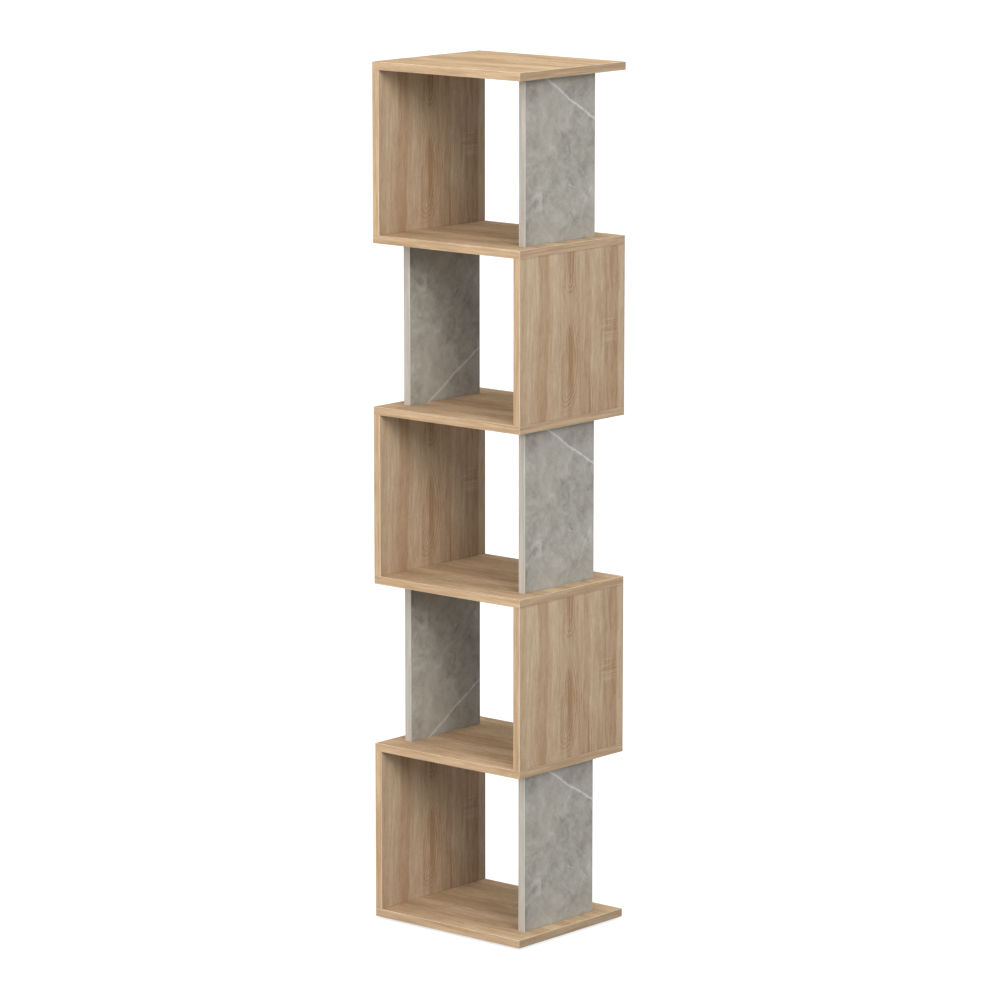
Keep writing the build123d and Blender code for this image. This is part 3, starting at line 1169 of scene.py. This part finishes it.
@dataclass(frozen=True, kw_only=True)
class StoneFinish(DecorFinish):
    """Grey stone decor, with one long vein and three short ones."""

    dark: Colour = (131, 127, 117)
    middle: Colour = (165, 160, 148)
    pale: Colour = (186, 181, 171)
    warm: Colour = (165, 153, 137)
    rim_line_and_shade: Colour = (102, 98, 91)
    vein: Colour = (214, 212, 205)
    tones: Triple = (0.14, 0.50, 0.92)
    warm_from: float = 0.3
    warm_to: float = 1.0
    warm_share: float = 0.25
    roughness: float = 0.62
    specular: float = 0.04
    bump: float = 0.2
    veins: tuple[VeinPlace, ...] = (
        VeinPlace((-0.052, 0.0, 0.152), (0.104, 0.0, 0.058), 0.0015, 0.0110, 0.80),
        VeinPlace((0.022, 0.0, -0.049), (0.041, 0.0, -0.056), 0.0010, 0.0030, 0.40),
        VeinPlace((0.062, 0.0, -0.095), (0.094, 0.0, -0.052), 0.0012, 0.0060, 0.25),
        VeinPlace((-0.070, 0.0, -0.100), (-0.020, 0.0, -0.150), 0.0014, 0.0120, 0.14),
    )

    def figure(self, sketch: Sketch, sheet: Wire) -> dict[str, Wire]:
        """The stone's clouds, smudges and blotches."""
        return StoneClouds().place(sketch, Vector=sheet)

    def overlay(self, sketch: Sketch, sheet: Wire, colour: Wire) -> Wire:
        """Draws the veins over the clouds.

        Args:
            sketch: Sketch of the material's tree.
            sheet: Coordinates of the decor.
            colour: Colour of the clouds.

        Returns:
            The colour with the veins.
        """
        for one in self.veins:
            mask = StoneVein().place(
                sketch, Vector=sheet, Start=one.start, End=one.end, Width=one.width, Wander=one.wander
            )["Mask"]
            colour = sketch.mix(mask * one.strength, colour, linear(*self.vein))
        return colour


@dataclass(frozen=True)
class EdgingFinish(Finish):
    """Edging strip with fine strokes, its corners and flanks paled by a painted highlight and some wear."""

    dark: Colour = (160, 131, 98)
    pale: Colour = (195, 168, 135)
    # Pale colour of the corners and flanks: a painted highlight, which on the corners is also wear
    worn: Colour = (221, 208, 185)
    tones: tuple[float, float] = (0.2, 0.8)
    wear_and_highlight: float = 0.9
    flank_highlight_share: float = 0.8
    roughness: float = 0.44
    bump: float = 0.2
    stands: bool = False

    def material(self, name: str) -> bpy.types.Material:
        """Makes the edging's material.

        Args:
            name: The material's name.

        Returns:
            The new material.
        """
        draft = self.begin(name)
        sketch, where, facing = draft.sketch, draft.where, draft.facing
        grain = EdgeGrain().place(sketch, Vector=where, Normal=facing, Stands=float(self.stands))
        colour = sketch.tones(grain["Tone"], self.tones, (self.dark, self.pale))
        # Corners and flanks are paled towards the worn colour: a painted highlight, and on the corners also
        # wear
        corner = RoundedEdge().place(sketch, Vector=where, Normal=facing)["Mask"]
        across = (1.0, 0.0, 0.0) if self.stands else (0.0, 0.0, 1.0)
        flank = StripFlank().place(sketch, Normal=facing, Across=across)["Mask"]
        pale = sketch.largest([corner, flank * self.flank_highlight_share])
        colour = sketch.mix(pale * self.wear_and_highlight, colour, linear(*self.worn))
        return self.complete(draft, colour, grain["Height"])


@dataclass(frozen=True)
class PlainFinish(Finish):
    """Moulded plastic, cast or rolled metal and bare dowel wood: two close tones and a fine grain."""

    dark: Colour = (103, 103, 103)
    pale: Colour = (129, 129, 129)
    # Pale colour of the rounded corners: partly wear, partly a painted highlight
    worn: Colour = (155, 155, 155)
    tones: tuple[float, float] = (0.3, 0.7)
    wear_and_highlight: float = 0.5
    stretch: Triple = (1800.0, 1800.0, 1800.0)
    metallic: float = 0.0

    def material(self, name: str) -> bpy.types.Material:
        """Makes the material.

        Args:
            name: The material's name.

        Returns:
            The new material.
        """
        draft = self.begin(name)
        sketch, where, facing = draft.sketch, draft.where, draft.facing
        grain = CastGrain().place(sketch, Vector=where, Stretch=self.stretch)
        colour = sketch.tones(grain["Tone"], self.tones, (self.dark, self.pale))
        # Rounded corners are paled towards the worn colour, partly wear and partly a painted highlight
        corner = RoundedEdge().place(sketch, Vector=where, Normal=facing)["Mask"]
        colour = sketch.mix(corner * self.wear_and_highlight, colour, linear(*self.worn))
        draft.shader.inputs["Metallic"].default_value = self.metallic
        return self.complete(draft, colour, grain["Height"])


def dress(node: str, material: bpy.types.Material) -> None:
    """Gives a construction node its material.

    Args:
        node: The node's name.
        material: The material for all its slots.
    """
    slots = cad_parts[node].material_slots
    for one in slots:
        one.link = "DATA"
        one.material = material
    if not slots:
        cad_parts[node].data.materials.append(material)
    LOG.info("dressed %s with %s", node, material.name)


@dataclass
class BoardSet:
    """Boards of one kind with their edging; the decor is the same on each, as they are cut alike."""

    names: tuple[str, ...]
    grain: Grain
    decor: DecorFinish
    decor_name: str
    edging: EdgingFinish
    edging_name: str
    upside_down: tuple[str, ...] = ()

    def build(self) -> None:
        """Dresses every board and its strips."""
        strip = self.edging.material(self.edging_name)
        for name in self.names:
            board = BoardPlace(*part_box(name), self.grain, name in self.upside_down)
            dress(name, self.decor.material(f"{self.decor_name}_{name}", board))
            dress(f"{name}_edging", strip)


@dataclass
class ShelfSet(BoardSet):
    """The six shelves with their edging."""

    names: tuple[str, ...] = SHELVES
    grain: Grain = Grain.LEVEL
    decor: DecorFinish = OakFinish(
        dark=(155, 126, 93), middle=(189, 162, 129), pale=(210, 187, 153), warm=(180, 151, 117),
        plank=SHELF_PLANK, band_contrast=1.4, specular=0.0,
    )
    decor_name: str = "oak_decor"
    edging: EdgingFinish = EdgingFinish()
    edging_name: str = "oak_edging_level"


@dataclass
class OakUprights(BoardSet):
    """The five wide uprights with their edging."""

    names: tuple[str, ...] = tuple(f"oak_upright_{level}" for level in LEVELS)
    grain: Grain = Grain.UPRIGHT
    decor: DecorFinish = OakFinish()
    decor_name: str = "oak_decor"
    edging: EdgingFinish = EdgingFinish(stands=True)
    edging_name: str = "oak_edging_upright"


@dataclass
class StoneUprights(BoardSet):
    """The five narrow uprights with their edging; the decor is upside down at even levels."""

    names: tuple[str, ...] = tuple(f"stone_upright_{level}" for level in LEVELS)
    grain: Grain = Grain.UPRIGHT
    decor: DecorFinish = StoneFinish()
    decor_name: str = "stone_decor"
    edging: EdgingFinish = EdgingFinish(
        dark=(158, 152, 142), pale=(182, 176, 166), worn=(204, 200, 192), stands=True
    )
    edging_name: str = "stone_edging_upright"
    upside_down: tuple[str, ...] = ("stone_upright_2", "stone_upright_4")


@dataclass
class Joinery:
    """Cam locks, bolts, dowels, nails, the wall bracket and its screw."""

    zinc: PlainFinish = PlainFinish(
        dark=(150, 152, 156), pale=(178, 180, 184), worn=(205, 206, 208), metallic=1.0, roughness=0.42
    )
    steel: PlainFinish = PlainFinish(
        dark=(168, 168, 164), pale=(196, 196, 192), worn=(220, 220, 216), metallic=1.0,
        stretch=(300.0, 2400.0, 2400.0), roughness=0.34,
    )
    beech: PlainFinish = PlainFinish(
        dark=(169, 134, 96), pale=(192, 160, 124), worn=(199, 173, 141),
        stretch=(900.0, 900.0, 60.0), roughness=0.7,
    )

    def build(self) -> None:
        """Dresses the fittings inside the joints and the bracket."""
        zinc = self.zinc.material("zinc_cast")
        steel = self.steel.material("steel_zinc_plated")
        beech = self.beech.material("beech_bare")
        dress("cam_locks", zinc)
        dress("dowels", beech)
        for name in ("connecting_bolts", "glide_nails", "wall_bracket", "bracket_screw"):
            dress(name, steel)


class TurnedPiece:
    """Geometry nodes that turn one round piece and set copies of it at a grid's corners."""

    sizes = ("Radius", "Thickness", "Rim Round", "Dish Radius", "Dish Depth", "Spread X", "Spread Y")
    rim_steps = 5
    weld = 0.001 * MM

    def __init__(self, name: str) -> None:
        """Makes the tree and its inputs.

        Args:
            name: The tree's name.
        """
        self.tree = bpy.data.node_groups.new(name, "GeometryNodeTree")
        inputs = [("Geometry", SocketKind.GEOMETRY)]
        inputs += [(label, SocketKind.FLOAT) for label in self.sizes]
        inputs += [("Segments", SocketKind.INT), ("Turn", SocketKind.VECTOR)]
        inputs += [("Material", SocketKind.MATERIAL)]
        face = self.tree.interface
        for label, kind in inputs:
            face.new_socket(name=label, in_out="INPUT", socket_type=kind.value)
        face.new_socket(name="Geometry", in_out="OUTPUT", socket_type=SocketKind.GEOMETRY.value)
        self.draw(Sketch(self.tree))

    def rings(self, takes: dict[str, Wire]) -> list[tuple[Wire, Wire]]:
        """Radius and height of each ring of the profile, from the foot of the rim to the dish.

        Args:
            takes: The tree's inputs, by name.

        Returns:
            A radius and a height for each ring.
        """
        radius, thickness, rim_round = takes["Radius"], takes["Thickness"], takes["Rim Round"]
        wall = thickness - rim_round
        rings = [(radius, wall)]
        for step in range(1, self.rim_steps + 1):
            angle = math.radians(90.0 * step / self.rim_steps)
            inward = rim_round * (1.0 - math.cos(angle))
            rings.append((radius - inward, rim_round * math.sin(angle) + wall))
        dish_radius, dish_depth = takes["Dish Radius"], takes["Dish Depth"]
        return rings + [(dish_radius, thickness), (dish_radius - dish_depth, thickness - dish_depth)]

    def draw(self, sketch: Sketch) -> None:
        """Draws the tree: a disc, its rounded rim, its dish, the copies and the material.

        Args:
            sketch: Sketch of the tree.
        """
        takes = sketch.takes()
        disc = sketch.wire(
            "GeometryNodeMeshCircle", {"Vertices": takes["Segments"], "Radius": takes["Radius"]},
            fill_type="NGON",
        )
        mesh, top = disc, True
        radius, height = takes["Radius"], 0.0
        for next_radius, next_height in self.rings(takes):
            lifted = sketch.add(
                "GeometryNodeExtrudeMesh",
                {"Mesh": mesh, "Selection": top, "Offset": sketch.join(0.0, 0.0, 1.0),
                 "Offset Scale": next_height - height, "Individual": False},
                mode="FACES",
            )
            top = Wire(sketch, lifted.outputs["Top"])
            mesh = sketch.wire(
                "GeometryNodeScaleElements",
                {"Geometry": Wire(sketch, lifted.outputs["Mesh"]), "Selection": top,
                 "Scale": next_radius / radius},
            )
            radius, height = next_radius, next_height

        # The side is shaded round, and the underside closes the piece with a flat disc
        side = sketch.wire("FunctionNodeBooleanMath", {0: top}, operation="NOT")
        upper = sketch.wire("GeometryNodeSetShadeSmooth", {"Geometry": mesh, "Selection": side})
        under = sketch.wire("GeometryNodeFlipFaces", {"Mesh": disc})
        under = sketch.wire("GeometryNodeSetShadeSmooth", {"Geometry": under, "Shade Smooth": False})
        shell = sketch.add("GeometryNodeJoinGeometry")
        sketch.feed(shell.inputs[0], upper)
        sketch.feed(shell.inputs[0], under)
        closed = sketch.wire(
            "GeometryNodeMergeByDistance",
            {"Geometry": Wire(sketch, shell.outputs[0]), "Distance": self.weld},
        )
        corners = sketch.wire(
            "GeometryNodeMeshGrid",
            {"Size X": takes["Spread X"], "Size Y": takes["Spread Y"], "Vertices X": 2, "Vertices Y": 2},
        )
        four = sketch.wire("GeometryNodeInstanceOnPoints", {"Points": corners, "Instance": closed})
        sets = sketch.wire(
            "GeometryNodeInstanceOnPoints",
            {"Points": takes["Geometry"], "Instance": four, "Rotation": takes["Turn"]},
        )
        whole = sketch.wire("GeometryNodeRealizeInstances", {"Geometry": sets})
        done = sketch.wire("GeometryNodeSetMaterial", {"Geometry": whole, "Material": takes["Material"]})
        sketch.add("NodeGroupOutput", {0: done})

    def make(self, name: str, points: list[Vector], **sizes: Any) -> bpy.types.Object:
        """Makes one object: a group of four pieces about each point.

        Args:
            name: The object's name.
            points: Middle of each group of four.
            **sizes: Value of each of the tree's inputs, with _ for each space of its name.

        Returns:
            An object with a plain mesh and no modifier.
        """
        seeds = bpy.data.meshes.new(f"{name}_points")
        seeds.from_pydata([tuple(point) for point in points], [], [])
        piece = bpy.data.objects.new(name, seeds)
        bpy.context.scene.collection.objects.link(piece)
        modifier = piece.modifiers.new("turned", "NODES")
        modifier.node_group = self.tree
        inputs = {item.name: item.identifier for item in self.tree.interface.items_tree
                  if item.in_out == "INPUT"}
        for label, value in sizes.items():
            modifier[inputs[label.replace("_", " ")]] = value
        depsgraph = bpy.context.evaluated_depsgraph_get()
        mesh = bpy.data.meshes.new_from_object(piece.evaluated_get(depsgraph))
        piece.modifiers.clear()
        piece.data = mesh
        return piece


@dataclass
class CoverCaps:
    """The round caps over the cam locks, four on the left face of each upright."""

    diameter: float = 17 * MM
    thickness: float = 1 * MM
    rim_round: float = 0.45 * MM
    dish_share: float = 0.62
    dish_depth: float = 0.14 * MM
    segments: int = 40
    kinds: tuple[tuple[str, str, PlainFinish], ...] = (
        ("oak", "cap_oak", PlainFinish(
            dark=(164, 136, 106), pale=(181, 155, 126), worn=(194, 171, 145), roughness=0.46)),
        ("stone", "cap_stone", PlainFinish(
            dark=(145, 142, 135), pale=(160, 158, 151), worn=(174, 173, 167), roughness=0.46)),
    )

    def build(self) -> None:
        """Makes the caps of both colours where the construction has them."""
        tree = TurnedPiece("turned_cover_cap")
        for kind, slot, finish in self.kinds:
            low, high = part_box(f"{kind}_cam_caps")
            first_low, first_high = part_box(f"{kind}_upright_1")
            spread_y = high.y - low.y - self.diameter
            bottom_gap = low.z + self.diameter / 2 - first_low.z
            spread_z = first_high.z - first_low.z - 2 * bottom_gap
            points = []
            for level in LEVELS:
                board_low, board_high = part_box(f"{kind}_upright_{level}")
                middle = (board_low + board_high) / 2
                points.append(Vector((board_low.x, middle.y, middle.z)))
            caps = tree.make(
                f"{kind}_cover_caps", points, Radius=self.diameter / 2, Thickness=self.thickness,
                Rim_Round=self.rim_round, Dish_Radius=self.dish_share * self.diameter / 2,
                Dish_Depth=self.dish_depth, Spread_X=spread_z, Spread_Y=spread_y,
                Segments=self.segments, Turn=(0.0, -math.pi / 2, 0.0),
                Material=finish.material(f"moulded_cap_{kind}"),
            )
            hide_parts(f"{kind}_cam_caps")
            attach(caps, BODY)
            LOG.info("made %s at %d uprights", caps.name, len(points))


@dataclass
class Glides:
    """The four round glides under the base shelf, as thick as the construction's."""

    diameter: float = 20 * MM
    rim_round: float = 0.9 * MM
    dish_radius: float = 2.65 * MM
    dish_depth: float = 1.4 * MM
    segments: int = 40
    finish: PlainFinish = PlainFinish(
        dark=(31, 29, 26), pale=(47, 44, 40), worn=(71, 68, 64), roughness=0.55
    )

    def build(self) -> None:
        """Makes the glides, face down, with the nail's recess in each."""
        low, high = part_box("glide_pads")
        middle = (low + high) / 2
        glides = TurnedPiece("turned_glide").make(
            "glides", [Vector((middle.x, middle.y, high.z))], Radius=self.diameter / 2,
            Thickness=high.z - low.z, Rim_Round=self.rim_round, Dish_Radius=self.dish_radius,
            Dish_Depth=self.dish_depth, Spread_X=high.x - low.x - self.diameter,
            Spread_Y=high.y - low.y - self.diameter, Segments=self.segments,
            Turn=(math.pi, 0.0, 0.0), Material=self.finish.material("moulded_glide"),
        )
        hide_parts("glide_pads")
        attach(glides, BODY)
        LOG.info("made %s", glides.name)


@dataclass(frozen=True)
class SoftLamp:
    """A wide soft light to one side of the object, far away or at a distance from its middle."""

    name: str
    azimuth: float
    elevation: float
    strength: float
    colour: Triple = (1.0, 1.0, 1.0)
    distance: float = 0.0
    spread: float = 23.0
    middle_height: float = 0.8

    @property
    def direction(self) -> Vector:
        """Unit vector towards the light: azimuth 0 is the front and 90 the right."""
        side, rise = math.radians(self.azimuth), math.radians(self.elevation)
        return Vector((math.sin(side) * math.cos(rise), -math.cos(side) * math.cos(rise), math.sin(rise)))

    def build(self) -> None:
        """Makes the lamp."""
        data = bpy.data.lights.new(self.name, "POINT" if self.distance else "SUN")
        data.energy = self.strength
        data.color = self.colour
        lamp = bpy.data.objects.new(self.name, data)
        if self.distance:
            data.energy *= 4 * math.pi * self.distance**2
            data.shadow_soft_size = self.distance * math.tan(math.radians(self.spread / 2))
            lamp.location = Vector((0.0, 0.0, self.middle_height)) + self.direction * self.distance
        else:
            data.angle = math.radians(self.spread)
            lamp.rotation_euler = self.direction.to_track_quat("Z", "Y").to_euler()
        bpy.context.scene.collection.objects.link(lamp)


@dataclass
class Studio:
    """Floor, soft light and the camera at the photograph's angle."""

    azimuth: float = 40.594
    elevation: float = 10.322
    distance: float = 8.946
    lens: float = 175.85
    sensor: float = 36.0
    aim_height: float = 0.7915
    aim_right: float = 0.00197
    aim_up: float = -0.00095
    floor_size: float = 60.0
    floor_colour: Colour = (242, 242, 242)
    floor_glow: float = 1.16
    shadow_reach: tuple[float, float] = (0.25, 0.9)
    shadow_share: float = 0.35
    # Floor colour for the object's light right beside the base: a painted shade for the contact shadow
    bounce_painted_shade: Colour = (20, 20, 20)
    bounce_far: Colour = (147, 147, 147)
    bounce_shade_reach: tuple[float, float] = (20 * MM, 80 * MM)
    ambient: float = 0.455
    ambient_colour: Shade = (0.84, 0.98, 1.22, 1.0)
    lamps: tuple[SoftLamp, ...] = (
        SoftLamp("front_low", 0.0, 12.0, 1.42, (1.12, 1.00, 0.88), 16.0),
        SoftLamp("overhead", 0.0, 90.0, 1.55, (1.05, 1.03, 0.97)),
        SoftLamp("front_right", 30.0, 40.0, 0.56, (1.03, 1.00, 0.95), 16.0),
        SoftLamp("right_high", 48.0, 48.0, 0.32, (1.03, 1.00, 0.90), 16.0),
        SoftLamp("right_low", 65.0, 21.0, 1.52, (0.99, 1.00, 1.02), 16.0),
        SoftLamp("left", -80.0, 22.0, 0.50, (1.07, 0.98, 0.96)),
        SoftLamp("rear", -160.0, 12.0, 1.00, (1.07, 0.98, 0.96)),
    )

    def build(self) -> None:
        """Makes the floor, the light and the camera."""
        for lamp in self.lamps:
            lamp.build()
        self.make_world()
        self.make_floor()
        self.make_camera()
        bpy.context.scene.view_settings.view_transform = "Standard"
        LOG.info("made the studio")

    def seen(self, sketch: Sketch) -> Wire:
        """Tells the rays that show the background from those that light the object.

        Args:
            sketch: Sketch of the floor's or the world's tree.

        Returns:
            1 for rays from the camera, a gloss or a glass, and otherwise 0.
        """
        path = sketch.add("ShaderNodeLightPath").outputs
        kinds = ("Is Camera Ray", "Is Glossy Ray", "Is Transmission Ray")
        return sketch.largest([Wire(sketch, path[kind]) for kind in kinds])

    def make_world(self) -> None:
        """Makes a world that looks white and lights softly from all sides."""
        world = bpy.data.worlds.new("studio_world")
        world.use_nodes = True
        world.node_tree.nodes.clear()
        sketch = Sketch(world.node_tree)
        seen = self.seen(sketch)
        strength = sketch.smooth(seen, 0.0, 1.0, self.ambient, 1.0)
        colour = sketch.mix(seen, self.ambient_colour, (1.0, 1.0, 1.0, 1.0))
        shine = sketch.wire("ShaderNodeBackground", {"Color": colour, "Strength": strength})
        sketch.add("ShaderNodeOutputWorld", {"Surface": shine})
        bpy.context.scene.world = world

    def make_floor(self) -> None:
        """Makes a wide pale floor that fades to white away from the object and keeps its shadow."""
        half = self.floor_size / 2
        mesh = bpy.data.meshes.new("floor")
        corners = [(-half, -half, 0.0), (half, -half, 0.0), (half, half, 0.0), (-half, half, 0.0)]
        mesh.from_pydata(corners, [], [(0, 1, 2, 3)])
        floor = bpy.data.objects.new("floor", mesh)
        bpy.context.scene.collection.objects.link(floor)
        mesh.materials.append(self.floor_material())

    def floor_material(self) -> bpy.types.Material:
        """Makes the floor's material.

        The camera sees it pale with a soft shadow, and it lights the object like a mid-grey
        floor with a painted shade beside the base, which stands in for the contact shadow there.

        Returns:
            The new material.
        """
        material = bpy.data.materials.new("studio_floor")
        material.use_nodes = True
        material.node_tree.nodes.clear()
        sketch = Sketch(material.node_tree)
        place = sketch.wire("ShaderNodeTexCoord", output="Object")
        near = sketch.smooth(sketch.vector("LENGTH", place), *self.shadow_reach, self.shadow_share, 0.0)
        ground = sketch.wire("ShaderNodeBsdfDiffuse", {"Color": linear(*self.floor_colour)})
        white = sketch.wire("ShaderNodeEmission", {"Strength": self.floor_glow})
        shown = sketch.wire("ShaderNodeMixShader", {0: near, 1: white, 2: ground})
        # The floor's colour for the object's light is darker beside the base: painted shade standing in for
        # the contact shadow
        low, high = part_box(SHELVES[0])
        reach = sketch.vector("SUBTRACT", sketch.vector("ABSOLUTE", place), tuple((high - low) / 2))
        beside = sketch.largest(sketch.split(reach)[:2])
        clear = sketch.smooth(beside, *self.bounce_shade_reach)
        bounce = sketch.mix(clear, linear(*self.bounce_painted_shade), linear(*self.bounce_far))
        dull = sketch.wire("ShaderNodeBsdfDiffuse", {"Color": bounce})
        either = sketch.wire("ShaderNodeMixShader", {0: self.seen(sketch), 1: dull, 2: shown})
        sketch.add("ShaderNodeOutputMaterial", {"Surface": either})
        return material

    def make_camera(self) -> None:
        """Makes the camera at the photograph's angle, distance and focal length."""
        side, rise = math.radians(self.azimuth), math.radians(self.elevation)
        ahead = Vector((-math.sin(side) * math.cos(rise), math.cos(side) * math.cos(rise), -math.sin(rise)))
        right = Vector((math.cos(side), math.sin(side), 0.0))
        up = right.cross(ahead)
        aim = Vector((0.0, 0.0, self.aim_height)) + right * self.aim_right + up * self.aim_up
        data = bpy.data.cameras.new("camera")
        data.lens = self.lens
        data.sensor_width = self.sensor
        camera = bpy.data.objects.new("camera", data)
        bpy.context.scene.collection.objects.link(camera)
        turn = Matrix((right, up, -ahead)).transposed().to_4x4()
        camera.matrix_world = Matrix.Translation(aim - ahead * self.distance) @ turn
        bpy.context.scene.camera = camera


def main() -> None:
    """Dresses the bookcase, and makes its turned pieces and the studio."""
    logging.basicConfig(level=logging.INFO, format="%(name)s: %(message)s")
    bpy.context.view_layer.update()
    for part in (ShelfSet(), OakUprights(), StoneUprights(), Joinery(), CoverCaps(), Glides(), Studio()):
        part.build()
        LOG.info("finished %s", type(part).__name__)


if __name__ == "__main__":
    main()
